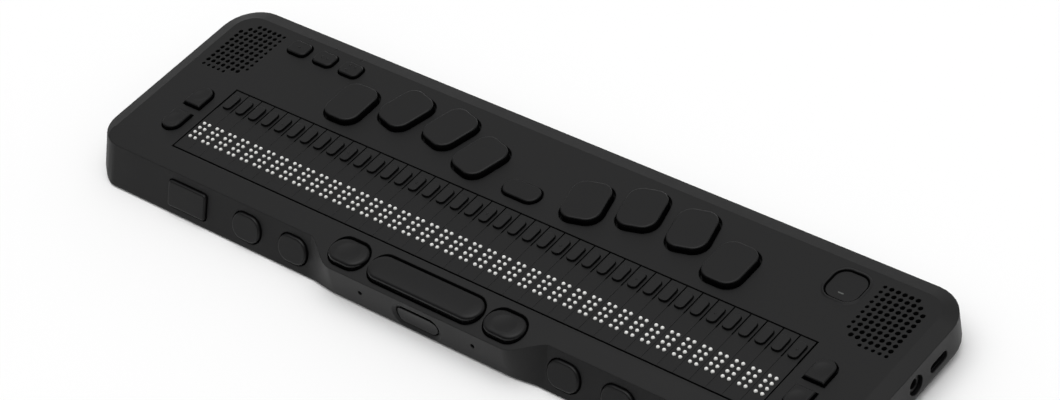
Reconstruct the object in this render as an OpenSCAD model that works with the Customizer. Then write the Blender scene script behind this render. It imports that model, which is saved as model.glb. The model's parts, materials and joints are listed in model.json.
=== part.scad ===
// Braille display: a row of refreshable cells with routing keys, an eight-key braille keyboard,
// thumb keys, front keys and two speakers in a low casing.
// Millimetres, X to the right, Y to the back, Z up, origin on the table under the casing's middle.

/* [Casing] */
// Width of the casing
body_w = 322; // [320:0.5:332]
// Depth from the front of the thumb ledge to the back
body_d = 91; // [90.5:0.5:95]
// Height without the feet
body_h = 16; // [16:0.1:18]
// Plan radius of the back corners
corner_r = 14; // [13:0.5:15]
// Plan radius of the front corners
front_r = 11.5; // [10.5:0.5:12.5]
// Thickness of the walls
wall = 2; // [1.8:0.1:2.2]
// Width of the bevel round the top
bevel_w = 5.5; // [4.5:0.1:5.8]
// Drop of the bevel round the top
bevel_drop = 1.65; // [1.4:0.05:1.9]
// Radius of the lower edges at the sides and back
lower_r = 4.5; // [4:0.1:5]
// Height of the rubber feet below the casing
foot_h = 0.8; // [0.6:0.1:1.2]
// Thickness of the bottom cover
floor_t = 2; // [1.8:0.1:2.2]

/* [Front] */
// Lean of the front face off the vertical
face_lean = 24.2; // [23:0.2:25]
// Reach of the thumb ledge in front of the front face's upper edge
ledge_reach = 7.8; // [7.6:0.1:8.2]
// Width of the sloped apron along the front edge
apron_w = 6.8; // [6.6:0.1:7]
// Half length of the ledge's straight front
ledge_half = 38; // [37.5:0.5:40]
// Length of each curved flank of the ledge
flank_w = 16; // [14:0.5:18]
// Thickness of the ledge's front wall
ledge_wall = 1.1; // [1:0.05:1.2]

/* [Braille cells] */
// Cells in each of the eight groups
cells_per_group = 5; // [4:1:5]
// Spacing of the cells
cell_pitch = 6.42; // [6.3:0.02:6.46]
// Spacing of the dots in a cell
dot_pitch = 2.5; // [2.3:0.1:2.5]
// Distance from the middle of the dot rows to the casing's back
dots_to_back = 63.5; // [63.3:0.1:64]
// Diameter of a pin
pin_d = 1.3; // [1.2:0.1:1.5]
// Height of a raised pin above its cap
pin_rise = 0.6; // [0.5:0.1:0.7]
// Travel of a pin
pin_travel = 0.7; // [0.6:0.1:0.8]
// Reach of a cap in front of the dot rows' middle
cap_front = 10.4; // [10:0.1:10.6]
// Reach of a cap behind the dot rows' middle
cap_back = 22.8; // [22.4:0.1:23]
// Thickness of a cap
cap_t = 2; // [1.8:0.1:2.2]
// Height of a cell module
module_h = 5.5; // [5.2:0.1:6]

/* [Routing keys] */
// Width of a routing key
pad_w = 3.6; // [3.2:0.1:3.8]
// Length of a routing key
pad_l = 7; // [6.6:0.1:7.2]
// Distance of the routing keys behind the dot rows' middle
pad_y = 16.8; // [16.6:0.1:17]
// Height of a routing key above its cap
pad_rise = 0.8; // [0.4:0.05:1]
// Corner radius of a routing key
pad_r = 1.4; // [1.2:0.1:1.6]
// Travel of a routing key
pad_travel = 0.4; // [0.3:0.05:0.45]

/* [Braille keys] */
// Width of a braille key
key_w = 14.9; // [14:0.1:15]
// Depth of a braille key
key_d = 18.4; // [17.4:0.1:18.6]
// Corner radius of a braille key
key_r = 5.1; // [4:0.1:5.4]
// Height of the braille keys above the casing
key_rise = 2.2; // [1.8:0.1:2.4]
// Travel of the braille keys
key_travel = 1.2; // [1:0.1:1.3]
// Turn of the index, middle and ring finger keys
finger_turn = 15; // [13:0.5:16]
// Little finger keys, distance from the middle plane
little_x = 84; // [83.5:0.1:85]
// Ring finger keys, distance from the middle plane
ring_x = 63.6; // [63.4:0.1:64]
// Middle finger keys, distance from the middle plane
middle_x = 42.7; // [42.5:0.1:43]
// Index finger keys, distance from the middle plane
index_x = 23.6; // [23.3:0.1:23.8]
// Little finger keys, distance behind the dot rows
little_y = 37; // [36.8:0.1:37.4]
// Ring and middle finger keys, distance behind the dot rows
ring_y = 43.75; // [43.5:0.05:44]
// Index finger keys, distance behind the dot rows
index_y = 37.45; // [37.2:0.05:37.8]

/* [Thumb keys] */
// Drop of the thumb keys' tops below the casing's top
thumb_drop = 0.2; // [0.1:0.05:0.5]
// Drop of the space bar's crown below the casing's top
bar_drop = 0; // [0:0.05:0.3]
// Width of a thumb key
thumb_w = 16.1; // [15.6:0.1:16.6]
// Depth of a thumb key
thumb_d = 10.9; // [10.5:0.1:11.3]
// Land between the openings of the bar and a thumb key
thumb_land = 0.95; // [0.8:0.05:1.2]
// Distance of the thumb keys and space bar behind the ledge's front
thumb_in = 7.65; // [7.5:0.05:7.8]
// Length of the space bar
bar_w = 49.4; // [48.6:0.2:50]
// Depth of the space bar
bar_d = 10.9; // [10.5:0.1:11.3]
// Radius of the space bar's crown
bar_crown = 36; // [30:0.5:40]
// Travel of the thumb keys and space bar
thumb_travel = 0.8; // [0.6:0.1:0.9]

/* [Small top keys] */
// Length of the menu key
menu_w = 15.3; // [14.6:0.1:15.6]
// Depth of the menu key
menu_d = 7.5; // [7.2:0.1:7.7]
// Distance of the menu key behind the dot rows
menu_y = 31.45; // [31.2:0.05:31.6]
// Width of a small key
small_w = 8.8; // [8.4:0.1:9]
// Depth of a small key
small_d = 6.3; // [6:0.1:6.5]
// Middle small key, distance from the casing's side
small_in = 51; // [50.7:0.1:51.2]
// Spacing of the small keys
small_pitch = 12.75; // [12.5:0.05:12.9]
// Distance of the small keys behind the dot rows
small_y = 51.3; // [51.1:0.05:51.5]
// Height of the small keys above the casing
small_rise = 1.2; // [0.8:0.1:1.5]
// Travel of the small, menu, scroll and power keys
small_travel = 0.6; // [0.4:0.1:0.7]
// Width of a scroll key
scroll_w = 7.6; // [7.2:0.1:7.8]
// Length of a scroll key
scroll_l = 9.65; // [9.3:0.05:9.8]
// Distance of the scroll keys' middles from the strip's end
scroll_out = 9; // [8.8:0.1:9.4]
// Distance between the two scroll keys' middles
scroll_span = 13.55; // [13.4:0.05:13.9]
// Middle of the scroll keys behind the dot rows
scroll_y = 6.4; // [6.2:0.1:6.6]
// Height of the scroll keys above the casing
scroll_rise = 1.4; // [1:0.1:1.6]
// Width and depth of the power button
power_w = 12.2; // [11.8:0.1:12.4]
// Power button, distance from the casing's side
power_in = 38.8; // [38.6:0.1:39]
// Power button, distance behind the dot rows
power_y = 48; // [47.8:0.1:48.2]
// Height of the lip round the power button
lip_h = 0.35; // [0.25:0.05:0.5]

/* [Front keys] */
// Width of an outer front key
outer_w = 18.5; // [18:0.1:19]
// Width of a rounded front key
round_w = 13.3; // [13:0.1:13.8]
// Height of the front keys along the face
front_h = 10; // [9.6:0.1:10.2]
// Corner radius of the rounded front keys
round_r = 4.75; // [4.4:0.05:4.9]
// Outer front keys, distance from the middle plane
outer_x = 112.05; // [111.8:0.05:112.4]
// Middle front keys, distance from the middle plane
mid_x = 82.65; // [82.4:0.05:83]
// Inner front keys, distance from the middle plane
inner_x = 60.35; // [60.2:0.05:60.6]
// Height of the front keys' middles above the casing's underside
front_up = 7; // [7:0.1:7.2]
// Height of the front keys above the front face
front_rise = 1.1; // [0.8:0.1:1.3]
// Travel of the front keys and the slot key
front_travel = 0.5; // [0.4:0.05:0.55]
// Length of the slot key
slot_w = 17.9; // [17.4:0.1:18.4]
// Height of the slot key
slot_h = 6; // [5.6:0.1:6.2]
// Width of the dished rim round the slot key
slot_rim = 1.35; // [1.1:0.05:1.4]
// Height of the slot key's middle above the casing's underside
slot_up = 5.5; // [5.5:0.1:5.7]

/* [Sockets] */
// Drop of the USB socket's middle below the casing's top
usb_drop = 8.4; // [8.2:0.1:8.6]
// USB socket, distance behind the dot rows
usb_y = 41; // [40.5:0.1:41.5]
// Width of the USB socket's shell
usb_w = 8.94; // [8.9:0.02:9]
// Height of the USB socket's shell
usb_h = 3.2; // [3.1:0.05:3.3]
// Drop of the audio socket's axis below the casing's top
jack_drop = 7.6; // [7.4:0.1:7.8]
// Audio socket, distance behind the dot rows
jack_y = 28.5; // [28.2:0.1:28.8]
// Diameter of the audio socket's bore
jack_bore = 3.6; // [3.5:0.05:3.7]
// Diameter of the hole for the audio socket in the wall
jack_hole = 7.2; // [7:0.1:7.6]

/* [Speakers] */
// Spacing of the grille holes
grille_pitch = 2.518; // [2.4:0.01:2.56]
// Diameter of the grille holes
grille_d = 1.8; // [1.5:0.05:1.9]
// Diameter of the smaller holes in the grille's first column and last row
grille_small_d = 1.4; // [1.1:0.05:1.5]
// First column of the grille, distance from the casing's side
grille_in = 27.9; // [27.6:0.1:28.2]
// First row of the grille, distance behind the dot rows
grille_y = 53.6; // [53.3:0.1:53.8]

/* [Clearances] */
// Gap round a key in its opening
key_gap = 0.6; // [0.5:0.05:0.65]
// Gap around a braille key
braille_gap = 0.9; // [0.6:0.05:1]
// Gap around a key on the front face
front_gap = 0.45; // [0.4:0.05:0.6]
// Gap round the thumb keys and the space bar
thumb_gap = 0.45; // [0.4:0.05:0.55]
// Gap between a key's flange and the casing at rest
seat_gap = 0.3; // [0.25:0.05:0.35]
// Gap left under a pressed key
run_gap = 0.3; // [0.25:0.05:0.35]
// Gap round the cell strip in its opening
strip_gap = 0.5; // [0.4:0.05:0.6]
// Gap in front of the strip
strip_front_gap = 0.7; // [0.5:0.05:0.8]
// Gap round a pin or routing key in its cap
cap_fit = 0.1; // [0.08:0.01:0.12]
// Gap round the bottom cover
plate_gap = 0.3; // [0.2:0.05:0.4]

/* [Hidden] */
$fn = 32;
groups = 8;
cells = groups * cells_per_group;
strip_half = cells * cell_pitch / 2;
scroll_x = strip_half + scroll_out;
side_x = body_w / 2;
top_z = foot_h + body_h;
floor_z = foot_h + floor_t;
under_z = top_z - wall;
back_y = body_d / 2;
ledge_y = -body_d / 2;
edge_y = ledge_y + ledge_reach;
edge_z = top_z - bevel_drop;
apron_y = edge_y + apron_w;
apron_slope = bevel_drop / apron_w;
cell_y = back_y - dots_to_back;
face_k = tan(face_lean);
face_wall = wall / cos(face_lean);
ledge_in = ledge_y + ledge_wall;
ledge_lift = 0.3;
pocket_skin = 0.1;
pocket_room = 0.5;
ledge_steps = 20;
ledge_sink = 0.02;
round_steps = 7;
slice = 0.01;
front_tuck = 0.1;
beyond = 1;
lip_w = lower_r + 0.9;
lip_front = 3.5;
edge = 0.4;

flange_t = 0.8;
flange_w = 1.2;
box_base = 0.6;
stem_d = 3;
stem_len = 2.2;
box_w = 6.4;
small_stem_d = 2.2;
small_box_w = 5;
stem_gap = 0.3;
board_t = 1.2;
flange_low = wall + seat_gap + flange_t;
box_top_drop = flange_low + key_travel + run_gap;
box_floor_drop = flange_low + stem_len + key_travel + run_gap;
key_board_z = top_z - box_floor_drop - box_base;
usb_z = top_z - usb_drop;
jack_z = top_z - jack_drop;
main_board_z = usb_z - usb_h / 2;

thumb_y = ledge_y + thumb_in;
thumb_x = bar_w / 2 + 2 * thumb_gap + thumb_land + thumb_w / 2;
thumb_lip = 0.8;
thumb_shoulder = 1.3;
pill_steps = 4;
thumb_flange_z = apron_under(thumb_y - bar_d / 2 - thumb_gap) - seat_gap;
thumb_stem = 1.9;
thumb_box_top = thumb_flange_z - flange_t - thumb_travel - run_gap;
thumb_box_floor = thumb_flange_z - flange_t - thumb_stem - thumb_travel - run_gap;
thumb_board_z = thumb_box_floor - box_base;
thumb_board_t = 1;
bar_stem_in = 6;
bar_stem_x = bar_w / 2 - bar_stem_in;
bar_tab = 10;
bar_low_z = thumb_flange_z + seat_gap;

front_z = foot_h + front_up;
front_edge = 0.8;
front_edge_steps = 4;
front_stem = 1.4;
front_stem_d = 1.8;
front_box_w = 4;
front_base = 0.5;
front_box_top = flange_low + front_travel + run_gap;
front_box_floor = flange_low + front_stem + front_travel + run_gap;
front_board_d = front_box_floor + front_base;
front_board_t = 0.8;
front_low = 3.2;
front_over = 0.5;
board_low = 2;
board_high = 2.4;
board_end = 3;
slot_z = foot_h + slot_up;
slot_depth = 0.7;
slot_dish = 12;
slot_sag = 0.35;
slot_flange_d = ledge_wall + seat_gap;
slot_box_top = slot_flange_d + flange_t + front_travel + run_gap;
slot_box_floor = slot_box_top + front_stem;
slot_board_d = slot_box_floor + front_base;
slot_low = slot_z - floor_z - run_gap;

cap_sink = 0.1;
cap_z = top_z - cap_sink;
cap_low = cap_z - cap_t;
cap_split = 12.4;
cap_front_gap = 0.14;
cap_back_gap = 0.5;
module_z = cap_low - module_h;
module_gap = 0.2;
module_inset = 0.3;
backplane_t = 1.6;
pin_tail = 1.4;
pad_flange_t = 0.6;
pad_flange_w = 0.4;
pad_seat = 0.25;
pad_stem = 1;
pad_stem_w = 1.6;
pad_flange_z = cap_low - pad_seat;
pad_low = pad_flange_z - pad_flange_t - pad_stem;
mark_d = 1;
mark_rise = 0.35;
tick_d = 1.3;
tick_deep = 0.35;
tick_shift = 0.45;

screw_d = 2;
screw_len = 6;
screw_head_d = 3.8;
screw_head_h = 1.2;
screw_fit = 0.1;
boss_d = 5;
boss_room = 0.4;
leg_post = 2.6;
screw_in_back = 10;
screw_in_front = 15;
foot_in = 36;
screw_points = [
    [side_x - screw_in_back, 22], [side_x - screw_in_front, -12.5], [105, 26], [53.1, 54], [47.5, -14.5]
];
foot_points = [[side_x - foot_in, -13], [side_x - foot_in, 49]];
foot_w = 16;
foot_d = 7;
foot_sunk = 0.8;
post_d = 4;
key_posts = [
    [-122, 33], [-122, 53], [-75, 53], [0, 53], [75, 53], [75, 31], [-scroll_x - leg_post, -5]
];
main_posts = [[112, 34], [112, 53], [136, 53], [scroll_x + leg_post, -5]];
key_board_in = 10;
key_board_end = 98;
key_board_y = 26;
main_board_in = 7;
main_board_start = 101;
main_board_y = 25;
boards_back = 56;
leg_in = 7;
leg_y = -9;
battery_x = -30;
battery_y = 39;
battery_w = 130;
battery_d = 22;
rib_t = 2;
rib_rows = [-6, 18];

light_w = 2.1;
light_d = 0.5;
light_y = -3.4;
light_t = 0.4;
power_sink = 0.1;
lip_w_in = 0.4;
lip_run = 0.9;
lip_slope = 0.35;
power_r = 4.1;

usb_len = 7.3;
usb_skin = 0.3;
usb_sink = 0.9;
usb_gap = 0.25;
jack_sink = 1.15;
jack_step = 0.35;
jack_step_w = 0.6;
jack_len = 12;
jack_body_w = 6;
jack_fit = 0.2;
mic_drop = 9.1;
mic_x = 25.1;
mic_d = 1.8;
mic_w = 3.4;
mic_h = 2.6;
mic_t = 1.5;
speaker_in = 19;
speaker_y = 44.2;
speaker_w = 19.6;
speaker_l = 22;
speaker_r = 8;
speaker_t = 4;
speaker_face = 0.8;
speaker_rim = 1.6;

grille_rows = [
    [1, 6], [1, 7], [1, 8], [1, 8], [1, 8], [1, 8], [1, 8], [1, 8], [1, 8], [2, 8], [4, 8]
];
fingers = [
    [little_x, little_y, 0],
    [ring_x, ring_y, finger_turn],
    [middle_x, ring_y, finger_turn],
    [index_x, index_y, finger_turn]
];
braille_keys = [
    ["key_dot_7", -1, 0], ["key_dot_3", -1, 1], ["key_dot_2", -1, 2], ["key_dot_1", -1, 3],
    ["key_dot_4", 1, 3], ["key_dot_5", 1, 2], ["key_dot_6", 1, 1], ["key_dot_8", 1, 0]
];
scroll_keys = [
    ["scroll_key_left_back", -1, 1], ["scroll_key_left_front", -1, -1],
    ["scroll_key_right_back", 1, 1], ["scroll_key_right_front", 1, -1]
];
small_keys = [
    ["small_key_1", -1], ["small_key_2", 0], ["small_key_3", 1]
];
small_marks = [
    [[0, 0]],
    [[-1.2, 0], [1.2, 0]],
    [[-1.2, -1.2], [-1.2, 1.2], [1.2, 1.2]]
];
front_keys = [
    ["front_key_outer_left", -outer_x, outer_w], ["front_key_mid_left", -mid_x, round_w],
    ["front_key_inner_left", -inner_x, round_w], ["front_key_inner_right", inner_x, round_w],
    ["front_key_mid_right", mid_x, round_w], ["front_key_outer_right", outer_x, outer_w]
];
outer_r = 1.4;

function face_y(z) = edge_y + face_k * (z - edge_z);
function apron_under(y) = under_z - apron_slope * (apron_y - y);
function blend(x) =
    let (t = min(1, (ledge_half + flank_w - abs(x)) / flank_w))
    (1 + ledge_sink) * t * t * (3 - 2 * t) - ledge_sink;
function ledge_front(x, z) = face_y(z) + blend(x) * (ledge_y - face_y(z));
function cell_x(i) = (i - (cells - 1) / 2) * cell_pitch;
function dot_side(d) = (d == 7 || d < 4) ? -1 : 1;
function dot_row(d) = d > 6 ? 3 : (d - 1) % 3;
function dot_y(d) = cell_y + (1.5 - dot_row(d)) * dot_pitch;
function face_point(v, depth) = [
    face_y(front_z) + v * sin(face_lean) + depth * cos(face_lean),
    front_z + v * cos(face_lean) - depth * sin(face_lean)
];

module rounded(w, d, r) {
    square([w - 2 * r, d], center = true);
    square([w, d - 2 * r], center = true);
    for (x = [-1, 1], y = [-1, 1])
        translate([x * (w / 2 - r), y * (d / 2 - r)])
            circle(r);
}

module obround(l, w) {
    square([l - w, w], center = true);
    for (x = [-1, 1])
        translate([x * (l - w) / 2, 0])
            circle(w / 2);
}

module yz_prism(points, w) {
    rotate([90, 0, 90])
        linear_extrude(w, center = true)
            polygon(points);
}

module slab(z, h) {
    translate([0, 0, z])
        linear_extrude(h)
            children();
}

module both_sides() {
    children();
    mirror([1, 0, 0])
        children();
}

// Corners of the casing's plan at a height, with an inset at the sides and back and a tuck at the front
module casing_plan(z, inset, tuck) {
    for (s = [-1, 1]) {
        translate([s * (side_x - corner_r), back_y - corner_r])
            circle(corner_r - inset);
        translate([s * (side_x - front_r), face_y(z) + tuck + front_r - inset])
            circle(front_r - inset);
    }
}

module casing_hull() {
    hull() {
        slab(top_z - slice, slice)
            casing_plan(top_z, bevel_w, front_tuck);
        slab(edge_z - slice, slice)
            casing_plan(edge_z, 0, 0);
        for (i = [0:round_steps])
            let (a = 90 * i / round_steps, z = foot_h + lower_r * (1 - sin(a)))
                slab(z, slice)
                    casing_plan(z, lower_r * (1 - cos(a)), i == round_steps ? 0 : front_tuck);
    }
}

// Thumb ledge, swept from the front face through an S-shaped flank to a straight front
module ledge_form() {
    low = foot_h + ledge_lift;
    high = top_z + beyond;
    core = edge_y + wall + beyond;
    span = ledge_half + flank_w;
    xs = concat(
        [for (i = [0:ledge_steps]) -span + flank_w * i / ledge_steps],
        [for (i = [0:ledge_steps]) ledge_half + flank_w * i / ledge_steps]
    );
    n = len(xs);
    points = [
        for (x = xs)
            each [
                [x, ledge_front(x, high), high], [x, ledge_front(x, low), low],
                [x, core, low], [x, core, high]
            ]
    ];
    sides = [
        for (j = [0:n - 2])
            let (a = 4 * j, b = 4 * j + 4)
                each [
                    [a, b, b + 1], [a, b + 1, a + 1], [a + 1, b + 1, b + 2, a + 2],
                    [a + 2, b + 2, b + 3, a + 3], [a + 3, b + 3, b, a]
                ]
    ];
    last = 4 * n - 4;
    polyhedron(points, concat(sides, [[0, 1, 2, 3], [last + 3, last + 2, last + 1, last]]));
}

module above_apron() {
    yz_prism([
        [apron_y, top_z], [apron_y - body_d, top_z - apron_slope * body_d],
        [apron_y - body_d, top_z + body_d], [apron_y, top_z + body_d]
    ], 2 * body_w);
}

module casing_form() {
    difference() {
        union() {
            casing_hull();
            ledge_form();
        }
        above_apron();
    }
}

module cavity() {
    in_y = edge_y + face_wall - face_k * edge_z;
    base = under_z - apron_slope * apron_y;
    meet_z = (base + apron_slope * in_y) / (1 - apron_slope * face_k);
    front = in_y + face_k * floor_z;
    back = back_y - wall;
    intersection() {
        yz_prism([
            [back, floor_z], [back, under_z], [apron_y, under_z],
            [in_y + face_k * meet_z, meet_z], [front, floor_z]
        ], body_w);
        slab(floor_z, body_h) {
            translate([0, (edge_y + wall + back) / 2])
                rounded(body_w - 2 * wall, back - edge_y - wall, corner_r - wall);
            translate([0, front])
                square([body_w - 2 * corner_r, body_d / 2], center = true);
        }
    }
}

module ledge_pocket() {
    half = thumb_x + thumb_w / 2 + thumb_lip + pocket_room;
    low = floor_z + pocket_skin;
    back = apron_y - pocket_skin;
    intersection() {
        yz_prism([
            [ledge_in, low], [ledge_in, apron_under(ledge_in) - pocket_skin],
            [back, apron_under(back) - pocket_skin], [back, low]
        ], body_w);
        slab(foot_h, body_h)
            translate([0, (ledge_in + apron_y) / 2 + corner_r / 2])
                rounded(2 * half, apron_y - ledge_in + corner_r, thumb_d / 2 + thumb_lip);
    }
}

module plate_plan(grow) {
    front = face_y(foot_h) + lip_front;
    back = back_y - lip_w;
    translate([0, (front + back) / 2])
        rounded(body_w - 2 * lip_w + 2 * grow, back - front + 2 * grow, corner_r - lip_w);
}

// Outlines of the keys on the top, each grown by a margin
module braille_shape(grow) {
    rounded(key_w + 2 * grow, key_d + 2 * grow, key_r + grow);
}

module braille_at(k) {
    f = fingers[k[2]];
    translate([k[1] * f[0], cell_y + f[1], top_z])
        rotate(k[1] * f[2])
            children();
}

module menu_shape(grow) {
    obround(menu_w + 2 * grow, menu_d + 2 * grow);
}

module menu_at() {
    translate([0, cell_y + menu_y, top_z])
        children();
}

module small_shape(grow) {
    r = small_d / 3;
    rounded(small_w + 2 * grow, small_d + 2 * grow, r + grow);
}

module small_at(k) {
    translate([small_in - side_x + k[1] * small_pitch, cell_y + small_y, top_z])
        children();
}

module scroll_shape(grow) {
    r = scroll_w / 2;
    translate([0, -r / 2 - grow / 2])
        square([scroll_w + 2 * grow, scroll_l - r + grow], center = true);
    translate([0, scroll_l / 2 - r])
        circle(r + grow);
}

module scroll_at(k) {
    translate([k[1] * scroll_x, cell_y + scroll_y + k[2] * scroll_span / 2, top_z])
        rotate(k[2] > 0 ? 0 : 180)
            children();
}

module power_shape(grow) {
    rounded(power_w + 2 * grow, power_w + 2 * grow, power_r + grow);
}

module power_at() {
    translate([side_x - power_in, cell_y + power_y, top_z])
        children();
}

module thumb_shape(grow) {
    obround(thumb_w + 2 * grow, thumb_d + 2 * grow);
}

module thumb_at(side) {
    translate([side * thumb_x, thumb_y])
        children();
}

module bar_shape(grow) {
    obround(bar_w + 2 * grow, bar_d + 2 * grow);
}

module bar_at() {
    translate([0, thumb_y])
        children();
}

// Outlines of the keys on the front face, in a frame whose Z leaves the face
module front_shape(w, grow) {
    r = w == outer_w ? outer_r : round_r;
    rounded(w + 2 * grow, front_h + 2 * grow, r + grow);
}

module front_at(x) {
    translate([x, face_y(front_z), front_z])
        rotate([90 - face_lean, 0, 0])
            children();
}

module slot_at() {
    translate([0, ledge_y, slot_z])
        rotate([90, 0, 0])
            children();
}

// A row of stepped outlines cut through the top
module top_openings() {
    through = wall + beyond;
    for (k = braille_keys)
        braille_at(k)
            slab(-through, 2 * through)
                braille_shape(braille_gap);
    menu_at()
        slab(-through, 2 * through)
            menu_shape(key_gap);
    for (k = small_keys)
        small_at(k)
            slab(-through, 2 * through)
                small_shape(key_gap);
    for (k = scroll_keys)
        scroll_at(k)
            slab(-through, 2 * through)
                scroll_shape(key_gap);
    power_at()
        slab(-through, 2 * through)
            power_shape(key_gap);
    slab(thumb_board_z, body_h) {
        for (s = [-1, 1])
            thumb_at(s)
                thumb_shape(thumb_gap);
        bar_at()
            bar_shape(thumb_gap);
    }
    slab(under_z - beyond, body_h)
        translate([-strip_half - strip_gap, cell_y - cap_front - strip_front_gap])
            square([2 * (strip_half + strip_gap), cap_front + cap_back + strip_front_gap + strip_gap]);
}

module slot_cone(r_out, r_in, h) {
    run = slot_w - slot_h;
    for (x = [-1, 1])
        translate([x * run / 2, 0, 0])
            cylinder(r1 = r_in, r2 = r_out, h = h, $fn = 64);
    yz_prism([[-r_in, 0], [r_in, 0], [r_out, h], [-r_out, h]], run);
}

module front_openings() {
    for (k = front_keys)
        front_at(k[1])
            slab(-flange_low + flange_t - front_travel, body_h / 2)
                front_shape(k[2], front_gap);
    slot_at() {
        slab(-ledge_wall - front_travel - seat_gap, body_h / 2)
            obround(slot_w + 2 * key_gap, slot_h + 2 * key_gap);
        translate([0, 0, -slot_depth])
            slot_cone(slot_h / 2 + slot_rim + key_gap, slot_h / 2 + key_gap, slot_depth + slice);
    }
    for (s = [-1, 1])
        translate([s * mic_x, ledge_y, top_z - mic_drop])
            rotate([90, 0, 0])
                cylinder(d = mic_d, h = 2 * (ledge_wall + beyond), center = true);
}

module side_openings() {
    translate([side_x, cell_y + usb_y, usb_z])
        rotate([90, 0, 90])
            linear_extrude(2 * (wall + beyond), center = true)
                obround(usb_w + 2 * usb_gap, usb_h + 2 * usb_gap);
    translate([side_x, cell_y + jack_y, jack_z])
        rotate([0, 90, 0])
            cylinder(d = jack_hole, h = 2 * (wall + beyond), center = true);
}

module grille() {
    for (row = [0:len(grille_rows) - 1], col = [grille_rows[row][0]:grille_rows[row][1]])
        translate([
            side_x - grille_in + (col - 1) * grille_pitch, cell_y + grille_y - row * grille_pitch,
            under_z - beyond
        ])
            cylinder(
                d = col == 1 || row == len(grille_rows) - 1 ? grille_small_d : grille_d,
                h = 2 * wall + beyond
            );
}

module boss(p) {
    top = top_z - 3 * wall / 4;
    translate([p[0], cell_y + p[1], floor_z])
        difference() {
            cylinder(d = boss_d, h = top - floor_z);
            translate([0, 0, -beyond])
                cylinder(d = screw_d + 2 * screw_fit, h = screw_len + beyond + boss_room);
        }
}

module top_cover() {
    color([0.17, 0.17, 0.18]) {
        difference() {
            union() {
                casing_form();
                power_lip();
            }
            cavity();
            ledge_pocket();
            slab(foot_h - beyond, floor_t + 2 * beyond)
                plate_plan(0);
            top_openings();
            front_openings();
            side_openings();
            both_sides()
                grille();
            small_ticks();
        }
        both_sides()
            for (p = screw_points)
                boss(p);
    }
}

module power_lip() {
    power_at()
        hull() {
            slab(-wall / 2, wall / 2 + lip_h - lip_slope)
                power_shape(key_gap + lip_run);
            slab(-wall / 2, wall / 2 + lip_h)
                power_shape(key_gap + lip_w_in);
        }
}

// Small dimples on the crease behind the small keys
module small_ticks() {
    for (k = small_keys)
        translate([
            small_in - side_x + k[1] * small_pitch - tick_shift, back_y - bevel_w - tick_shift,
            top_z + tick_d / 2 - tick_deep
        ])
            rotate([90, 0, 0])
                sphere(d = tick_d);
}

module bottom_cover() {
    color([0.13, 0.13, 0.14]) {
        difference() {
            slab(foot_h, floor_t)
                plate_plan(-plate_gap);
            both_sides() {
                for (p = screw_points)
                    translate([p[0], cell_y + p[1], foot_h - beyond]) {
                        cylinder(d = screw_head_d + 4 * screw_fit, h = screw_head_h + beyond);
                        cylinder(d = screw_d + 4 * screw_fit, h = floor_t + 2 * beyond);
                    }
                for (p = foot_points)
                    translate([p[0], cell_y + p[1], foot_h - beyond])
                        linear_extrude(foot_sunk + beyond)
                            obround(foot_w, foot_d);
            }
        }
        posts(key_posts, key_board_z - board_t);
        posts(main_posts, main_board_z - board_t);
        thumb_posts();
        backplane_ribs();
        front_rails();
    }
}

module posts(points, top) {
    sunk = floor_t / 2;
    for (p = points)
        translate([p[0], cell_y + p[1], floor_z - sunk])
            cylinder(d = post_d, h = top - floor_z + sunk);
}

module thumb_posts() {
    sunk = floor_t / 2;
    for (x = [bar_stem_x, thumb_x + post_d / 2])
        both_sides()
            translate([x, thumb_y + box_w / 2 + post_d / 2, floor_z - sunk])
                cylinder(d = post_d, h = thumb_board_z - thumb_board_t - floor_z + sunk);
}

module backplane_ribs() {
    sunk = floor_t / 2;
    h = module_z - backplane_t - floor_z + sunk;
    for (y = rib_rows)
        translate([-strip_half, cell_y + y, floor_z - sunk])
            cube([2 * strip_half, rib_t, h]);
}

module front_rails() {
    sunk = floor_t / 2;
    low = face_point(-board_low, front_board_d + front_board_t);
    high = face_point(board_high, front_board_d + front_board_t);
    w = outer_x - inner_x;
    for (s = [-1, 1])
        translate([s * (outer_x + inner_x) / 2, 0, 0])
            yz_prism([
                low, high, [high[0] + rib_t, high[1]],
                [high[0] + rib_t, floor_z - sunk], [low[0], floor_z - sunk]
            ], w);
}

module cell_caps() {
    color([0.15, 0.15, 0.16])
        for (i = [0:cells - 1])
            cell_cap(cell_x(i));
}

module cell_cap(x) {
    front_w = cell_pitch - cap_front_gap;
    back_w = cell_pitch - cap_back_gap;
    difference() {
        slab(cap_low, cap_t)
            polygon([
                [x - front_w / 2, cell_y - cap_front], [x + front_w / 2, cell_y - cap_front],
                [x + front_w / 2, cell_y + cap_split], [x + back_w / 2, cell_y + cap_split],
                [x + back_w / 2, cell_y + cap_back], [x - back_w / 2, cell_y + cap_back],
                [x - back_w / 2, cell_y + cap_split], [x - front_w / 2, cell_y + cap_split]
            ]);
        for (d = [1:8])
            translate([x + dot_side(d) * dot_pitch / 2, dot_y(d), cap_low - beyond])
                cylinder(d = pin_d + 2 * cap_fit, h = cap_t + 2 * beyond);
        slab(cap_low - beyond, cap_t + 2 * beyond)
            pad_shape(x, 2 * cap_fit);
    }
}

module pad_shape(x, grow) {
    translate([x, cell_y + pad_y])
        rotate(90)
            rounded(pad_l + 2 * grow, pad_w + 2 * grow, pad_r + grow);
}

module cell_modules() {
    color([0.82, 0.82, 0.8])
        for (i = [0:cells - 1])
            cell_module(cell_x(i));
}

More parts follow.
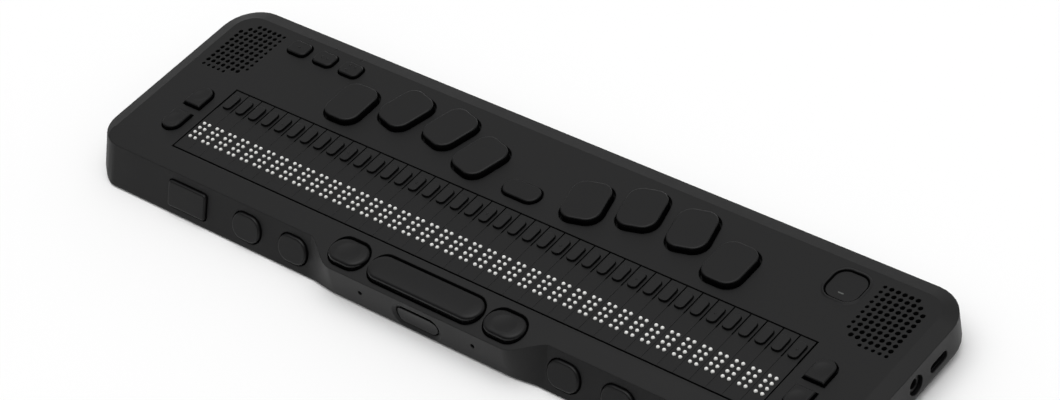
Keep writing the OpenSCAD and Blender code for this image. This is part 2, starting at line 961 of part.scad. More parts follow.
module cell_module(x) {
    w = cell_pitch - module_gap;
    d = cap_front + cap_back - 2 * module_inset;
    mid = cell_y + (cap_back - cap_front) / 2;
    well = dot_pitch + pin_d + 2 * cap_fit;
    well_d = 3 * dot_pitch + pin_d + 2 * cap_fit;
    pin_floor = cap_low - pin_tail - pin_travel - run_gap;
    pad_floor = pad_low - pad_travel - pad_seat;
    pad_room = pad_flange_w + 2 * cap_fit;
    difference() {
        slab(module_z, module_h)
            translate([x, mid])
                square([w, d], center = true);
        slab(pin_floor, module_h)
            translate([x, cell_y])
                square([well, well_d], center = true);
        slab(pad_floor, module_h)
            translate([x, cell_y + pad_y])
                square([pad_w + 2 * pad_room, pad_l + 2 * pad_room], center = true);
    }
}

module cell_backplane() {
    color([0.1, 0.28, 0.16])
        slab(module_z - backplane_t, backplane_t)
            translate([0, cell_y + (cap_back - cap_front) / 2])
                square([2 * strip_half, cap_front + cap_back - 2 * module_inset], center = true);
}

module boss_holes(z) {
    both_sides()
        for (p = screw_points)
            translate([p[0], cell_y + p[1], z - beyond])
                cylinder(d = boss_d + 2 * boss_room, h = board_t + 2 * beyond);
}

module key_board() {
    z = key_board_z - board_t;
    color([0.1, 0.3, 0.18])
        difference() {
            slab(z, board_t) {
                translate([key_board_in - side_x, cell_y + key_board_y])
                    square([side_x - key_board_in + key_board_end, boards_back - key_board_y]);
                translate([key_board_in - side_x, cell_y + leg_y])
                    square([side_x - key_board_in - scroll_x + leg_in, key_board_y - leg_y + beyond]);
            }
            boss_holes(z);
        }
}

module main_board() {
    z = main_board_z - board_t;
    color([0.1, 0.3, 0.18])
        difference() {
            slab(z, board_t) {
                translate([main_board_start, cell_y + main_board_y])
                    square([side_x - main_board_in - main_board_start, boards_back - main_board_y]);
                translate([scroll_x - leg_in, cell_y + leg_y])
                    square([side_x - main_board_in - scroll_x + leg_in, main_board_y - leg_y + beyond]);
            }
            boss_holes(z);
        }
}

module thumb_front_boards() {
    inner = bar_w / 2 - bar_tab - beyond;
    outer = thumb_x + box_w;
    front = thumb_y - box_w / 2;
    color([0.1, 0.3, 0.18]) {
        both_sides()
            slab(thumb_board_z - thumb_board_t, thumb_board_t)
                translate([inner, front])
                    square([outer - inner, box_w + post_d]);
        for (s = [-1, 1])
            front_at(s * (outer_x + inner_x) / 2)
                translate([0, (board_high - board_low) / 2, -front_board_d - front_board_t / 2])
                    cube([
                        outer_x - inner_x + 2 * board_end, board_high + board_low, front_board_t
                    ], center = true);
        translate([-small_box_w, ledge_y + slot_board_d, floor_z])
            cube([2 * small_box_w, front_board_t, slot_z - floor_z + small_box_w / 2]);
    }
}

// A switch housing, from its board up to its mouth, with a blind bore for a key's stem
module switch_box(w, top, floor_at, low, bore) {
    translate([0, 0, low])
        difference() {
            linear_extrude(top - low)
                square(w, center = true);
            translate([0, 0, floor_at - low])
                cylinder(d = bore, h = top - floor_at + beyond);
        }
}

module top_box(w, bore, board_z) {
    switch_box(w, -box_top_drop, -box_floor_drop, board_z - top_z, bore + 2 * stem_gap);
}

module key_switches() {
    color([0.3, 0.3, 0.32]) {
        for (k = braille_keys)
            braille_at(k)
                top_box(box_w, stem_d, key_board_z);
        menu_at()
            top_box(small_box_w, small_stem_d, key_board_z);
        for (k = small_keys)
            small_at(k)
                top_box(small_box_w, small_stem_d, key_board_z);
        for (k = scroll_keys)
            scroll_at(k)
                top_box(small_box_w, small_stem_d, k[1] < 0 ? key_board_z : main_board_z);
        power_at()
            top_box(small_box_w, small_stem_d, main_board_z);
        for (x = [thumb_x, bar_stem_x])
            both_sides()
                translate([x, thumb_y, 0])
                    switch_box(
                        small_box_w, thumb_box_top, thumb_box_floor, thumb_board_z,
                        small_stem_d + 2 * stem_gap
                    );
        for (k = front_keys)
            front_at(k[1])
                switch_box(
                    front_box_w, -front_box_top, -front_box_floor, -front_board_d,
                    front_stem_d + 2 * stem_gap
                );
        slot_at()
            switch_box(
                front_box_w, -slot_box_top, -slot_box_floor, -slot_board_d,
                front_stem_d + 2 * stem_gap
            );
    }
}

module battery() {
    h = key_board_z - board_t - floor_z - seat_gap;
    color([0.62, 0.64, 0.66])
        slab(floor_z, h)
            translate([battery_x, cell_y + battery_y])
                rounded(battery_w, battery_d, wall);
}

module speakers() {
    color([0.08, 0.08, 0.08])
        both_sides()
            translate([side_x - speaker_in, cell_y + speaker_y, under_z - speaker_t])
                difference() {
                    linear_extrude(speaker_t)
                        rounded(speaker_w, speaker_l, speaker_r);
                    slab(speaker_t - speaker_face, speaker_face + beyond)
                        rounded(
                            speaker_w - 2 * speaker_rim, speaker_l - 2 * speaker_rim,
                            speaker_r - speaker_rim
                        );
                }
}

module usb_c_port() {
    tongue_h = 0.7;
    tongue_w = 6.7;
    color([0.66, 0.67, 0.69])
        translate([side_x - usb_sink, cell_y + usb_y, usb_z])
            rotate([90, 0, -90]) {
                difference() {
                    linear_extrude(usb_len)
                        obround(usb_w, usb_h);
                    translate([0, 0, -beyond])
                        linear_extrude(usb_len)
                            obround(usb_w - 2 * usb_skin, usb_h - 2 * usb_skin);
                }
                slab(beyond, usb_len - beyond)
                    square([tongue_w, tongue_h], center = true);
            }
}

module audio_jack() {
    nose = wall - jack_sink + beyond;
    nose_r = jack_hole / 2 - jack_fit;
    half = jack_z - main_board_z;
    color([0.1, 0.1, 0.1])
        translate([side_x - jack_sink, cell_y + jack_y, jack_z])
            rotate([0, -90, 0])
                difference() {
                    union() {
                        cylinder(r = nose_r - jack_step_w, h = nose);
                        translate([0, 0, jack_step])
                            cylinder(r = nose_r, h = nose - jack_step - beyond / 2);
                        slab(nose, jack_len - nose)
                            square([2 * half, jack_body_w], center = true);
                    }
                    translate([0, 0, -beyond])
                        cylinder(d = jack_bore, h = jack_len);
                }
}

module microphones() {
    color([0.7, 0.68, 0.6])
        both_sides()
            translate([mic_x - mic_w / 2, ledge_in, top_z - mic_drop - mic_h / 2])
                difference() {
                    cube([mic_w, mic_t, mic_h]);
                    translate([mic_w / 2, 0, mic_h / 2])
                        rotate([90, 0, 0])
                            cylinder(d = mic_d / 2, h = mic_t, center = true);
                }
}

module rubber_feet() {
    color([0.06, 0.06, 0.06])
        both_sides()
            for (p = foot_points)
                translate([p[0], cell_y + p[1], 0])
                    linear_extrude(foot_h + foot_sunk)
                        obround(foot_w - 2 * screw_fit, foot_d - 2 * screw_fit);
}

module screws() {
    drive = screw_head_d / 2;
    color([0.5, 0.51, 0.53])
        both_sides()
            for (p = screw_points)
                translate([p[0], cell_y + p[1], foot_h])
                    difference() {
                        union() {
                            cylinder(d = screw_head_d, h = screw_head_h);
                            cylinder(d = screw_d, h = floor_t + screw_len);
                        }
                        translate([0, 0, -beyond])
                            cylinder(d = drive, h = beyond + screw_head_h / 2, $fn = 6);
                    }
}

// A key pushed along its Z: a cap through the skin, a flange under it and a stem.
// Children: the cap's outline, the outline of its top face, the flange's outline.
module press_key(rise, skin, stem_long, stem_dia) {
    low = -skin - seat_gap - flange_t;
    hull() {
        slab(low + flange_t / 2, rise - edge - low - flange_t / 2)
            children(0);
        slab(rise - edge, edge)
            children(1);
    }
    slab(low, flange_t)
        children(2);
    translate([0, 0, low - stem_long])
        cylinder(d = stem_dia, h = stem_long + flange_t / 2);
}

module braille_key(k) {
    color([0.16, 0.16, 0.17])
        braille_at(k)
            press_key(key_rise, wall, stem_len, stem_d) {
                braille_shape(0);
                braille_shape(-edge);
                braille_shape(flange_w);
            }
}

module menu_key() {
    color([0.16, 0.16, 0.17])
        menu_at()
            press_key(small_rise, wall, stem_len, small_stem_d) {
                menu_shape(0);
                menu_shape(-edge);
                menu_shape(flange_w);
            }
}

module small_key(k) {
    color([0.16, 0.16, 0.17])
        small_at(k) {
            press_key(small_rise, wall, stem_len, small_stem_d) {
                small_shape(0);
                small_shape(-edge);
                small_shape(flange_w);
            }
            for (m = small_marks[k[1] + 1])
                translate([m[0], m[1], small_rise + mark_rise - mark_d / 2])
                    sphere(d = mark_d);
        }
}

module scroll_key(k) {
    dish_r = 20;
    dish = 0.3;
    color([0.16, 0.16, 0.17])
        scroll_at(k)
            difference() {
                press_key(scroll_rise, wall, stem_len, small_stem_d) {
                    scroll_shape(0);
                    scroll_shape(-edge);
                    scroll_shape(flange_w);
                }
                translate([0, 0, scroll_rise - dish + dish_r])
                    sphere(dish_r, $fn = 96);
            }
}

module power_button() {
    low = -flange_low;
    color([0.16, 0.16, 0.17])
        power_at()
            difference() {
                union() {
                    slab(low, -low - power_sink)
                        power_shape(0);
                    slab(low, flange_t)
                        power_shape(flange_w);
                    translate([0, 0, low - stem_len])
                        cylinder(d = small_stem_d, h = stem_len + flange_t / 2);
                }
                translate([0, light_y, -power_sink])
                    cube([light_w, light_d, 2 * light_t], center = true);
            }
}

module power_light() {
    color([0.75, 0.78, 0.76])
        power_at()
            translate([0, light_y, -power_sink - light_t / 2])
                cube([light_w, light_d, light_t], center = true);
}

// Obround key body with a crowned top and a rounded shoulder
module pill(l, w, low, top, crown, shoulder) {
    reach = w / 2 - shoulder;
    start = asin(reach / (crown - shoulder));
    middle = top - crown + (crown - shoulder) * cos(start);
    hull() {
        slab(low, middle - low)
            obround(l, w);
        for (i = [1:pill_steps]) {
            t = start * i / pill_steps;
            d = crown * sin(t);
            slab(top - crown * (1 - cos(t)) - slice, slice)
                obround(l - w + 2 * d, 2 * d);
        }
        for (i = [1:pill_steps - 1]) {
            t = start + (90 - start) * i / pill_steps;
            d = reach + shoulder * sin(t);
            slab(middle + shoulder * cos(t) - slice, slice)
                obround(l - w + 2 * d, 2 * d);
        }
    }
}

module thumb_key(side) {
    dish_r = 26;
    dish = 0.45;
    top = top_z - thumb_drop;
    low = thumb_flange_z - flange_t;
    color([0.16, 0.16, 0.17])
        thumb_at(side) {
            difference() {
                pill(thumb_w, thumb_d, low + flange_t / 2, top, bar_crown, thumb_shoulder);
                translate([0, 0, top - dish + dish_r])
                    sphere(dish_r, $fn = 96);
            }
            slab(low, flange_t)
                obround(thumb_w + 2 * thumb_lip, thumb_d);
            translate([0, 0, low - thumb_stem])
                cylinder(d = small_stem_d, h = thumb_stem + flange_t / 2);
        }
}

module space_bar() {
    top = top_z - bar_drop;
    low = thumb_flange_z - flange_t;
    color([0.16, 0.16, 0.17])
        bar_at() {
            pill(bar_w, bar_d, bar_low_z, top, bar_crown, thumb_shoulder);
            both_sides() {
                slab(low, bar_low_z - low + flange_t)
                    intersection() {
                        bar_shape(0);
                        translate([bar_w / 2 - bar_tab, -bar_d])
                            square(2 * bar_d);
                    }
                slab(low, flange_t)
                    translate([bar_w / 2 - bar_tab, -bar_d / 4])
                        square([bar_tab + thumb_lip, bar_d / 2]);
                translate([bar_stem_x, 0, low - thumb_stem])
                    cylinder(d = small_stem_d, h = thumb_stem + flange_t / 2);
            }
        }
}

module front_key(k) {
    w = k[2];
    low = -flange_low;
    reach = front_h / 2 + front_over;
    color([0.13, 0.13, 0.14])
        front_at(k[1]) {
            hull() {
                slab(-wall, wall + front_rise - front_edge)
                    front_shape(w, 0);
                for (i = [1:front_edge_steps]) {
                    t = 90 * i / front_edge_steps;
                    slab(front_rise - front_edge * (1 - sin(t)) - slice, slice)
                        front_shape(w, -front_edge * (1 - cos(t)));
                }
            }
            slab(low, flange_t + wall)
                translate([0, (reach - front_low) / 2 - front_over])
                    square([w / 2, reach + front_low - 2 * front_over], center = true);
            slab(low, flange_t)
                translate([0, (reach - front_low) / 2])
                    square([w + 2 * flange_w, reach + front_low], center = true);
            translate([0, 0, low - front_stem])
                cylinder(d = front_stem_d, h = front_stem + flange_t / 2);
        }
}

module front_slot_key() {
    low = -slot_flange_d - flange_t;
    core_h = slot_low + slot_h / 2 - 2 * seat_gap;
    color([0.15, 0.15, 0.16])
        slot_at() {
            difference() {
                slab(-ledge_wall, ledge_wall - slot_depth / 2)
                    obround(slot_w, slot_h);
                translate([0, 0, slot_dish - slot_depth / 2 - slot_sag])
                    rotate([0, 90, 0])
                        cylinder(r = slot_dish, h = 2 * slot_w, center = true, $fn = 128);
            }
            slab(low, flange_t + slot_flange_d - ledge_wall + slice)
                translate([0, slot_h / 2 - 2 * seat_gap - core_h / 2])
                    square([slot_w / 2, core_h], center = true);
            slab(low, flange_t)
                translate([0, slot_h / 2 - 2 * seat_gap - core_h / 2])
                    square([slot_w + 2 * flange_w, core_h], center = true);
            translate([0, 0, low - front_stem])
                cylinder(d = front_stem_d, h = front_stem + flange_t / 2);
        }
}

module routing_keys(g) {
    first = (g - 1) * cells_per_group;
    low = pad_flange_z - pad_flange_t;
    color([0.2, 0.2, 0.21])
        for (i = [first:first + cells_per_group - 1]) {
            x = cell_x(i);
            slab(low, cap_z + pad_rise - low)
                pad_shape(x, 0);
            slab(low, pad_flange_t)
                pad_shape(x, pad_flange_w);
            translate([x, cell_y + pad_y, low - pad_stem])
                linear_extrude(pad_stem + pad_flange_t / 2)
                    square([pad_stem_w, pad_w], center = true);
            if (i == first + cells_per_group - 1)
                translate([x, cell_y + pad_y, cap_z + pad_rise + mark_rise - mark_d / 2])
                    sphere(d = mark_d);
        }
}

module dot_pins(d) {
    r = pin_d / 2;
    low = cap_low - pin_tail;
    long = cap_z + pin_rise - r - low;
    color([0.95, 0.95, 0.94])
        for (i = [0:cells - 1])
            translate([cell_x(i) + dot_side(d) * dot_pitch / 2, dot_y(d), low])
                rotate_extrude() {
                    square([r, long]);
                    intersection() {
                        translate([0, long])
                            circle(r);
                        square([r, long + r]);
                    }
                }
}

top_cover();
bottom_cover();
cell_caps();
cell_modules();
cell_backplane();
key_board();
main_board();
thumb_front_boards();
key_switches();
battery();
speakers();
usb_c_port();
audio_jack();
microphones();
rubber_feet();
screws();
space_bar();
thumb_key(-1);  // thumb_key_left
thumb_key(1);  // thumb_key_right
menu_key();
power_button();
power_light();
front_slot_key();
for (k = braille_keys)
    braille_key(k);
for (k = scroll_keys)
    scroll_key(k);
for (k = small_keys)
    small_key(k);
for (k = front_keys)
    front_key(k);
for (g = [1:groups])
    routing_keys(g);
for (d = [1:8])
    dot_pins(d);
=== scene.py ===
"""Looks of a braille display: moulded plastics, braille pins and sockets, in a plain studio."""

import json
import math

import bpy
from mathutils import Matrix, Vector


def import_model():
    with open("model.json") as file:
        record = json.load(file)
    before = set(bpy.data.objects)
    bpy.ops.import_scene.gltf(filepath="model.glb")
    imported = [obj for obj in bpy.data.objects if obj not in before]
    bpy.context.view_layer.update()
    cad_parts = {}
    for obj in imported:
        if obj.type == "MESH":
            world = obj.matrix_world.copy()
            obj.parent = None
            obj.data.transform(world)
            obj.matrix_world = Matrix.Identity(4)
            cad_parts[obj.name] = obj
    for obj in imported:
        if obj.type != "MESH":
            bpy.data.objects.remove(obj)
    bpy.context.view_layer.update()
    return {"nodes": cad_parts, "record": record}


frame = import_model()
nodes = frame["nodes"]

MM = 0.001

# Camera: where it stands, in millimetres, how it is turned, in degrees, its lens and sensor, in
# millimetres, and the distances it sees between, in metres
CAMERA_AT = (571.39, -493.96, 686.5)
CAMERA_AZIMUTH = 48.25
CAMERA_ELEVATION = 41.41
CAMERA_ROLL = -13.29
CAMERA_LENS = 102.06
SENSOR = 36.0
CLIP_NEAR = 0.05
CLIP_FAR = 50.0

# Floor: half its side, in metres, and its look
FLOOR_HALF = 6.0
FLOOR_COLOUR = (0.96, 0.96, 0.96, 1.0)
FLOOR_ROUGH = 0.9

# The surround's level by height: the sine of the angle above the horizon, and the level there
SKY = ((0.0, 0.5), (0.47, 0.3), (0.67, 0.42), (0.82, 0.95), (0.95, 2.35), (1.0, 2.7))
SKY_STRENGTH = 1.1
# How much the level near the horizon rises towards the back and falls towards the front
SKY_LEAN = 0.9

# Plastic: noise for the grain and the mottling, the depth of the grain in millimetres, and how
# far the mottling moves the roughness each way
GRAIN_NOISE = {"Detail": 2.0, "Roughness": 0.6}
GRAIN_DEPTH = 0.02
MOTTLE_NOISE = {"Scale": 60.0, "Detail": 4.0, "Roughness": 0.55}
ROUGH_SPREAD = 0.05
# Edges worn and painted with a highlight, by the cosine of the turn that rounding gives the normal
# there
EDGE_WEAR_AND_HIGHLIGHT_START = 0.99
EDGE_WEAR_AND_HIGHLIGHT_FULL = 0.72
ROUNDING_SAMPLES = 4
# What full wear and the painted highlight do to a colour, by share and by lift, and what full wear
# does to the roughness
WEAR_AND_HIGHLIGHT_SHARE = 1.6
WEAR_AND_HIGHLIGHT_LIFT = 0.006
WEAR_POLISH = -0.25
# The Z of a face's normal, up to which it counts as upright and from which as a top
UPRIGHT = 0.25
LEVEL = 0.85

# Metal: noise for the brushed lines, their size and depth in millimetres, and how far they move
# the roughness down and up
BRUSH_STRETCH = (0.1, 1.0, 1.0)
BRUSH_GRAIN = 0.15
BRUSH_DETAIL = 3.0
BRUSH_DEPTH = 0.01
BRUSH_BUMP = 0.15
BRUSH_SMOOTHER = 0.08
BRUSH_ROUGHER = 0.1

# The sockets of a mix of colours, by number, because their names are not unique
MIX_SHARE, MIX_FIRST, MIX_SECOND = 0, 6, 7
MIX_RESULT = 2

# Modifiers: weld distance in millimetres, angles in degrees, and the weight of large faces
WELD_GAP = 0.001
FLAT_ANGLE = 0.5
BEVEL_ANGLE = 32.0
BEVEL_SEGMENTS = 2
EVEN_WEIGHT = 80
# Edges turned by less than these degrees are shaded smooth: on the top cover, on the flanks of
# its thumb ledge, and on the other pieces
COVER_SMOOTH = 14.0
FLANK_SMOOTH = 40.0
PIECE_SMOOTH = 28.0

# Where these flanks lie: from and to, out from the middle, and their back, in millimetres
FLANK_FROM = 37.5
FLANK_TO = 54.5
FLANK_BACK = -36.0

# Rounding of the edges, in millimetres, by the start of a node's name
EDGES = {
    "key_dot": 0.3, "space_bar": 0.3, "thumb_key": 0.25, "scroll_key": 0.2, "routing_keys": 0.2,
    "small_key": 0.15, "menu_key": 0.15, "power_button": 0.15, "front_": 0.15,
}

# Materials by slot: linear colour, roughness, and what differs from the plain plastic
CASING = (0.0030, 0.0030, 0.0032)
KEY = (0.0022, 0.0022, 0.0024)
PIN = {"grain": 0.2, "bump": 0.1, "mottle": 0.03, "wear_and_highlight": 0.0}
PLASTICS = {
    "casing_plastic": (CASING, 0.48, {"edge": 0.5}),
    "base_plastic": ((0.0040, 0.0040, 0.0042), 0.55, {}),
    "cap_plastic": ((0.0028, 0.0028, 0.0030), 0.42, {"bump": 0.12}),
    "module_plastic": ((0.6, 0.6, 0.57), 0.5, {}),
    "circuit_board": ((0.01, 0.09, 0.035), 0.4, {"grain": 0.6}),
    "switch_plastic": ((0.06, 0.06, 0.065), 0.5, {}),
    "speaker_black": ((0.004, 0.004, 0.004), 0.7, {"specular": 0.2}),
    "jack_plastic": ((0.005, 0.005, 0.005), 0.4, {}),
    "foot_rubber": ((0.01, 0.01, 0.01), 0.85, {"grain": 0.4, "specular": 0.3}),
    "light_lens": ((0.09, 0.095, 0.09), 0.35, {}),
    "key_plastic": (KEY, 0.4, {"bump": 0.15, "side": 0.15}),
    "front_key_plastic": (KEY, 0.42, {"bump": 0.15}),
    # The routing keys are the caps' own plastic, painted lighter than the caps as a painted lift
    # against the shade in their gaps and on their walls
    "routing_plastic": ((0.0036, 0.0036, 0.0038), 0.42, {"bump": 0.12}),
    "pin_plastic": ((0.82, 0.82, 0.8), 0.35, PIN),
}
METALS = {
    "battery_foil": ((0.45, 0.46, 0.48), 0.5),
    "socket_steel": ((0.06, 0.06, 0.065), 0.4),
    "mic_can": ((0.03, 0.03, 0.032), 0.5),
    "screw_steel": ((0.4, 0.41, 0.43), 0.35),
}


def links(tree):
    """A short way to make nodes, set their sockets and join them in a node tree."""

    def new(kind, sockets=None, **values):
        node = tree.nodes.new(kind)
        for key, value in values.items():
            setattr(node, key, value)
        for key, value in (sockets or {}).items():
            node.inputs[key].default_value = value
        return node

    def join(a, out, b, into):
        tree.links.new(a.outputs[out], b.inputs[into])

    return new, join


def blank(name):
    """A material with nothing but a shader, joined to the output."""
    material = bpy.data.materials.new(name)
    material.use_nodes = True
    tree = material.node_tree
    tree.nodes.clear()
    new, join = links(tree)
    shader = new("ShaderNodeBsdfPrincipled")
    join(shader, "BSDF", new("ShaderNodeOutputMaterial"), "Surface")
    return material, shader


def plastic(name, colour, rough, grain=0.28, bump=0.25, specular=0.25, mottle=0.12, wear_and_highlight=0.35,
            edge=0.35, side=None):
    """Moulded plastic: a fine even grain, faint mottling, and edges smoothed by use and lightened,
    partly by use and partly as a painted highlight.

    colour is linear; grain and edge are sizes in millimetres; side is the roughness of upright
    faces, where it differs from that of the tops.
    """
    material, shader = blank(name)
    new, join = links(material.node_tree)
    shader.inputs["Specular IOR Level"].default_value = specular

    place = new("ShaderNodeTexCoord")
    fine = new("ShaderNodeTexNoise", {"Scale": 1.0 / (grain * MM), **GRAIN_NOISE})
    join(place, "Object", fine, "Vector")
    broad = new("ShaderNodeTexNoise", MOTTLE_NOISE)
    join(place, "Object", broad, "Vector")

    soft = new("ShaderNodeBevel", {"Radius": edge * MM}, samples=ROUNDING_SAMPLES)
    flat = new("ShaderNodeNewGeometry")
    turn = new("ShaderNodeVectorMath", operation="DOT_PRODUCT")
    join(soft, "Normal", turn, 0)
    join(flat, "True Normal", turn, 1)
    wear_and_highlight_mask = new("ShaderNodeMapRange", {"From Min": EDGE_WEAR_AND_HIGHLIGHT_START, "From Max": EDGE_WEAR_AND_HIGHLIGHT_FULL})
    join(turn, "Value", wear_and_highlight_mask, "Value")

    tone = new("ShaderNodeMapRange", {"To Min": 1.0 - mottle, "To Max": 1.0 + mottle})
    join(broad, "Fac", tone, "Value")
    plain = {MIX_SHARE: 1.0, MIX_FIRST: (*colour, 1.0)}
    base = new("ShaderNodeMix", plain, data_type="RGBA", blend_type="MULTIPLY")
    join(tone, "Result", base, MIX_SECOND)
    # Edge colour lightened, partly by use and partly as a painted highlight along the edges
    wear_and_highlight_colour = [min(1.0, c * (1.0 + WEAR_AND_HIGHLIGHT_SHARE * wear_and_highlight) + WEAR_AND_HIGHLIGHT_LIFT * wear_and_highlight) for c in colour]
    wear_and_highlight_mix = new("ShaderNodeMix", {MIX_SECOND: (*wear_and_highlight_colour, 1.0)}, data_type="RGBA", blend_type="MIX")
    join(wear_and_highlight_mask, "Result", wear_and_highlight_mix, MIX_SHARE)
    join(base, MIX_RESULT, wear_and_highlight_mix, MIX_FIRST)
    join(wear_and_highlight_mix, MIX_RESULT, shader, "Base Color")

    range_ends = {"To Min": rough - ROUGH_SPREAD, "To Max": rough + ROUGH_SPREAD}
    matt = new("ShaderNodeMapRange", range_ends)
    join(broad, "Fac", matt, "Value")
    if side is not None:
        up = new("ShaderNodeSeparateXYZ")
        join(flat, "Normal", up, "Vector")
        top = new("ShaderNodeMapRange", {"From Min": UPRIGHT, "From Max": LEVEL})
        join(up, "Z", top, "Value")
        for end, at in range_ends.items():
            blend = new("ShaderNodeMapRange", {"To Min": side, "To Max": at})
            join(top, "Result", blend, "Value")
            join(blend, "Result", matt, end)
    polished = new("ShaderNodeMath", {1: WEAR_POLISH * wear_and_highlight}, operation="MULTIPLY_ADD")
    join(wear_and_highlight_mask, "Result", polished, 0)
    join(matt, "Result", polished, 2)
    join(polished, "Value", shader, "Roughness")

    relief = new("ShaderNodeBump", {"Strength": bump, "Distance": GRAIN_DEPTH * MM})
    join(fine, "Fac", relief, "Height")
    join(soft, "Normal", relief, "Normal")
    join(relief, "Normal", shader, "Normal")
    return material


def metal(name, colour, rough):
    """Plated metal with a faint brushed grain along X."""
    material, shader = blank(name)
    new, join = links(material.node_tree)
    shader.inputs["Metallic"].default_value = 1.0
    shader.inputs["Base Color"].default_value = (*colour, 1.0)
    place = new("ShaderNodeTexCoord")
    along = new("ShaderNodeMapping", {"Scale": BRUSH_STRETCH})
    join(place, "Object", along, "Vector")
    brush = {"Scale": 1.0 / (BRUSH_GRAIN * MM), "Detail": BRUSH_DETAIL}
    lines = new("ShaderNodeTexNoise", brush)
    join(along, "Vector", lines, "Vector")
    range_ends = {"To Min": rough - BRUSH_SMOOTHER, "To Max": rough + BRUSH_ROUGHER}
    matt = new("ShaderNodeMapRange", range_ends)
    join(lines, "Fac", matt, "Value")
    join(matt, "Result", shader, "Roughness")
    relief = new("ShaderNodeBump", {"Strength": BRUSH_BUMP, "Distance": BRUSH_DEPTH * MM})
    join(lines, "Fac", relief, "Height")
    join(relief, "Normal", shader, "Normal")
    return material


def on_flank(group):
    """A field that is true on the edges of the two flanks of the thumb ledge."""
    new, join = links(group)
    place = new("GeometryNodeInputPosition")
    split = new("ShaderNodeSeparateXYZ")
    out = new("ShaderNodeMath", operation="ABSOLUTE")
    join(place, "Position", split, "Vector")
    join(split, "X", out, 0)
    tests = []
    for source, socket, way, limit in (
        (out, "Value", "GREATER_THAN", FLANK_FROM),
        (out, "Value", "LESS_THAN", FLANK_TO),
        (split, "Y", "LESS_THAN", FLANK_BACK),
    ):
        test = new("FunctionNodeCompare", {1: limit * MM}, data_type="FLOAT", operation=way)
        join(source, socket, test, 0)
        tests.append(test)
    across = new("FunctionNodeBooleanMath", operation="AND")
    join(tests[0], "Result", across, 0)
    join(tests[1], "Result", across, 1)
    flank = new("FunctionNodeBooleanMath", operation="AND")
    join(across, "Boolean", flank, 0)
    join(tests[2], "Result", flank, 1)
    return flank


def smooth_group(angle, flank_angle):
    """A node group that shades smooth across edges turned less than angle, in degrees.

    On the flanks of the thumb ledge, flank_angle takes its place.
    """
    group = bpy.data.node_groups.new("smooth_by_angle", "GeometryNodeTree")
    group.interface.new_socket("Geometry", in_out="INPUT", socket_type="NodeSocketGeometry")
    group.interface.new_socket("Geometry", in_out="OUTPUT", socket_type="NodeSocketGeometry")
    new, join = links(group)
    source = new("NodeGroupInput")
    result = new("NodeGroupOutput")
    faces = new("GeometryNodeSetShadeSmooth", domain="FACE")
    edges = new("GeometryNodeSetShadeSmooth", {"Shade Smooth": False}, domain="EDGE")
    turn = new("GeometryNodeInputMeshEdgeAngle")
    sharp = new("FunctionNodeCompare", data_type="FLOAT", operation="GREATER_THAN")
    angles = {"False": math.radians(angle), "True": math.radians(flank_angle)}
    limit = new("GeometryNodeSwitch", angles, input_type="FLOAT")
    join(on_flank(group), "Boolean", limit, "Switch")
    join(limit, "Output", sharp, 1)
    join(source, "Geometry", faces, "Geometry")
    join(faces, "Geometry", edges, "Geometry")
    join(turn, "Unsigned Angle", sharp, 0)
    join(sharp, "Result", edges, "Selection")
    join(edges, "Geometry", result, "Geometry")
    return group


def dress(obj, edge, shading):
    """Welds a piece's faces, rounds its edges by edge millimetres and adds the group shading."""
    weld = obj.modifiers.new("weld", "WELD")
    weld.merge_threshold = WELD_GAP * MM
    if edge:
        flat = obj.modifiers.new("flat", "DECIMATE")
        flat.decimate_type = "DISSOLVE"
        flat.angle_limit = math.radians(FLAT_ANGLE)
        soften = obj.modifiers.new("soften", "BEVEL")
        soften.width = edge * MM
        soften.segments = BEVEL_SEGMENTS
        soften.limit_method = "ANGLE"
        soften.angle_limit = math.radians(BEVEL_ANGLE)
        soften.use_clamp_overlap = True
    shade = obj.modifiers.new("shade", "NODES")
    shade.node_group = shading
    even = obj.modifiers.new("even", "WEIGHTED_NORMAL")
    even.mode = "FACE_AREA_WITH_ANGLE"
    even.keep_sharp = True
    even.weight = EVEN_WEIGHT


def pieces():
    """Gives each node of the frame its material, edges and shading."""
    looks = {}
    for slot, (colour, rough, more) in PLASTICS.items():
        looks[slot] = plastic(slot, colour, rough, **more)
    for slot, (colour, rough) in METALS.items():
        looks[slot] = metal(slot, colour, rough)
    cover_shading = smooth_group(COVER_SMOOTH, FLANK_SMOOTH)
    piece_shading = smooth_group(PIECE_SMOOTH, PIECE_SMOOTH)
    for sub in frame["record"]["subparts"]:
        name = sub["node"]
        obj = nodes[name]
        obj.data.materials.clear()
        obj.data.materials.append(looks[sub["material_slot"]])
        edge = next((e for start, e in EDGES.items() if name.startswith(start)), 0.0)
        dress(obj, edge, cover_shading if name == "top_cover" else piece_shading)


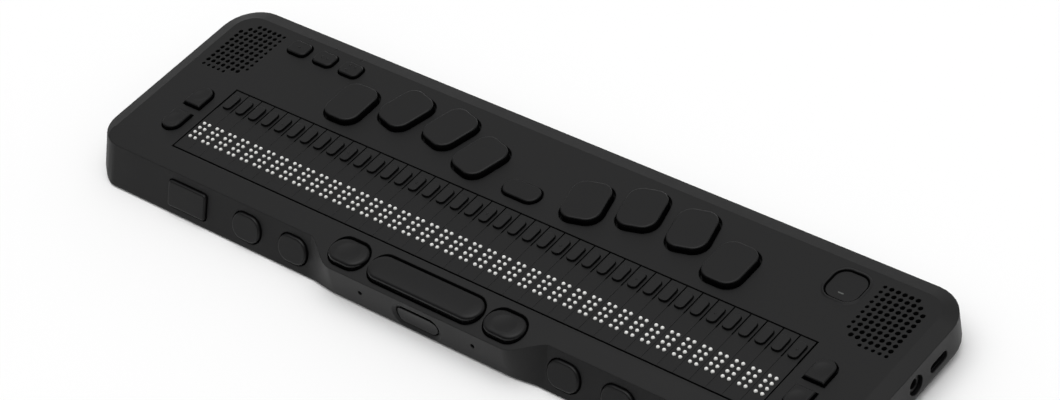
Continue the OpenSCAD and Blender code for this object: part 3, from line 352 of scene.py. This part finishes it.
def floor():
    """A plain pale floor under the feet."""
    mesh = bpy.data.meshes.new("floor")
    h = FLOOR_HALF
    mesh.from_pydata([(-h, -h, 0), (h, -h, 0), (h, h, 0), (-h, h, 0)], [], [(0, 1, 2, 3)])
    obj = bpy.data.objects.new("floor", mesh)
    bpy.context.scene.collection.objects.link(obj)
    material, shader = blank("floor")
    shader.inputs["Base Color"].default_value = FLOOR_COLOUR
    shader.inputs["Roughness"].default_value = FLOOR_ROUGH
    shader.inputs["Specular IOR Level"].default_value = 0.0
    mesh.materials.append(material)


def world():
    """A pale surround, brightest overhead, as under a wide soft light, and darker at the front."""
    surround = bpy.data.worlds.new("studio")
    surround.use_nodes = True
    tree = surround.node_tree
    new, join = links(tree)
    back = tree.nodes["Background"]
    way = new("ShaderNodeTexCoord")
    height = new("ShaderNodeSeparateXYZ")
    join(way, "Generated", height, "Vector")
    ramp = new("ShaderNodeValToRGB")
    join(height, "Z", ramp, "Fac")
    join(ramp, "Color", back, "Color")
    low = new("ShaderNodeMath", {0: 1.0}, operation="SUBTRACT")
    join(height, "Z", low, 1)
    lean = new("ShaderNodeMath", operation="MULTIPLY")
    join(height, "Y", lean, 0)
    join(low, "Value", lean, 1)
    slope = {1: SKY_STRENGTH * SKY_LEAN, 2: SKY_STRENGTH}
    strength = new("ShaderNodeMath", slope, operation="MULTIPLY_ADD")
    join(lean, "Value", strength, 0)
    join(strength, "Value", back, "Strength")
    bands = ramp.color_ramp.elements
    while len(bands) < len(SKY):
        bands.new(1.0)
    for band, (rise, level) in zip(bands, SKY):
        band.position = rise
        band.color = (level, level, level, 1.0)
    bpy.context.scene.world = surround


def camera():
    """The camera at the photograph's place, with its roll."""
    data = bpy.data.cameras.new("camera")
    data.sensor_fit = "HORIZONTAL"
    data.sensor_width = SENSOR
    data.lens = CAMERA_LENS
    data.clip_start = CLIP_NEAR
    data.clip_end = CLIP_FAR
    obj = bpy.data.objects.new("camera", data)
    turn = (
        Matrix.Rotation(math.radians(CAMERA_AZIMUTH), 4, "Z")
        @ Matrix.Rotation(math.radians(90.0 - CAMERA_ELEVATION), 4, "X")
        @ Matrix.Rotation(math.radians(CAMERA_ROLL), 4, "Z")
    )
    obj.matrix_world = Matrix.Translation(Vector(CAMERA_AT) * MM) @ turn
    bpy.context.scene.collection.objects.link(obj)
    bpy.context.scene.camera = obj


pieces()
floor()
world()
camera()
bpy.context.scene.view_settings.view_transform = "Standard"
